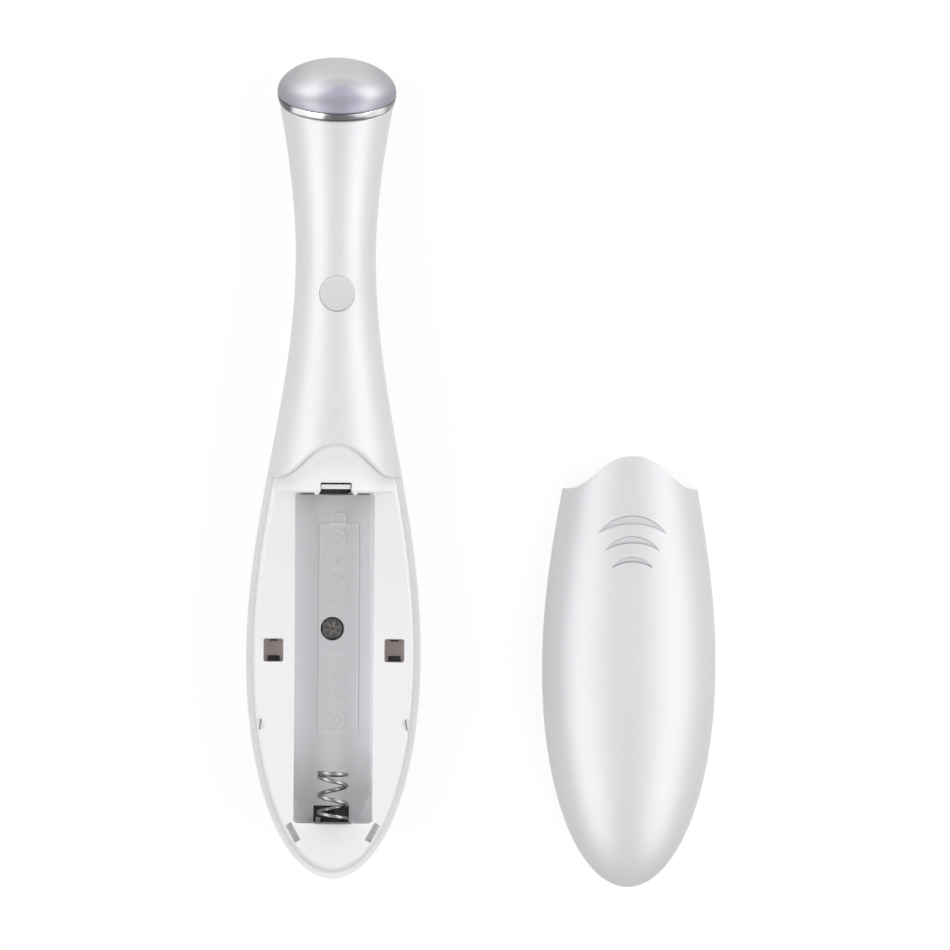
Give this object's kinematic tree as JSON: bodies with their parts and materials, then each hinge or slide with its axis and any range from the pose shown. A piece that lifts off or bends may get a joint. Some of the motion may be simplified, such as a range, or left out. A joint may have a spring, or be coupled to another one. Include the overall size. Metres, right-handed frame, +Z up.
{
  "type": "battery face massager wand",
  "caption": "Wand-shaped vibrating face massager with a tilted domed metal head, push button, open battery pocket and loose battery cover beside it.",
  "frame": {"origin": "middle of the small flat under the handle's widest section, on the table that the wand lies on", "axes": "+Z up from the table to the battery side, +Y along the wand to its metal head, +X towards the loose cover"},
  "size_m": [0.0716, 0.1252, 0.0176],
  "materials": {
    "pearl_shell": "satin pearl silver white lacquer",
    "pearl_cover": "satin pearl silver white lacquer",
    "white_moulding": "plain white moulded plastic",
    "polished_head": "softly polished metal",
    "button_grey": "smooth light grey",
    "contact_steel": "bright plated",
    "dark_nickel": "dark plated",
    "board_green": "solder mask",
    "black_plastic": "plain black",
    "lead_red": "plain red insulation"
  },
  "bodies": {
    "wand": {"back_shell": "pearl_shell", "front_shell": "pearl_shell", "battery_tray": "white_moulding", "tray_screw": "dark_nickel", "head_cap": "polished_head", "head_collar": "white_moulding", "circuit_board": "board_green", "switch_body": "black_plastic", "motor_can": "contact_steel", "motor_end_cap": "black_plastic", "positive_contact": "contact_steel", "negative_contact": "contact_steel", "contact_spring": "contact_steel", "lead_positive": "lead_red", "lead_negative": "black_plastic", "motor_lead_left": "lead_red", "motor_lead_right": "black_plastic"},
    "button": {"power_button": "button_grey", "switch_plunger": "contact_steel"},
    "motor_rotor": {"motor_shaft": "contact_steel", "eccentric_weight": "dark_nickel"},
    "cover": {"battery_cover": "pearl_cover"}
  },
  "joints": [
    {"name": "button_press", "type": "slide", "parent": "wand", "child": "button", "axis": [0, 0, -1], "range_m": [0, 0.0004], "stiffness_N_per_m": 1500, "springref_m": -0.0002},
    {"name": "motor_spin", "type": "hinge", "parent": "wand", "child": "motor_rotor", "pos_m": [0, 0.0755, 0.00873], "axis": [0, 1, 0], "continuous": true},
    {"name": "cover_carry", "type": "slide", "parent": "wand", "child": "cover", "axis": [-0.707, 0.0188, 0.707], "range_m": [0, 0.06393]}
  ]
}
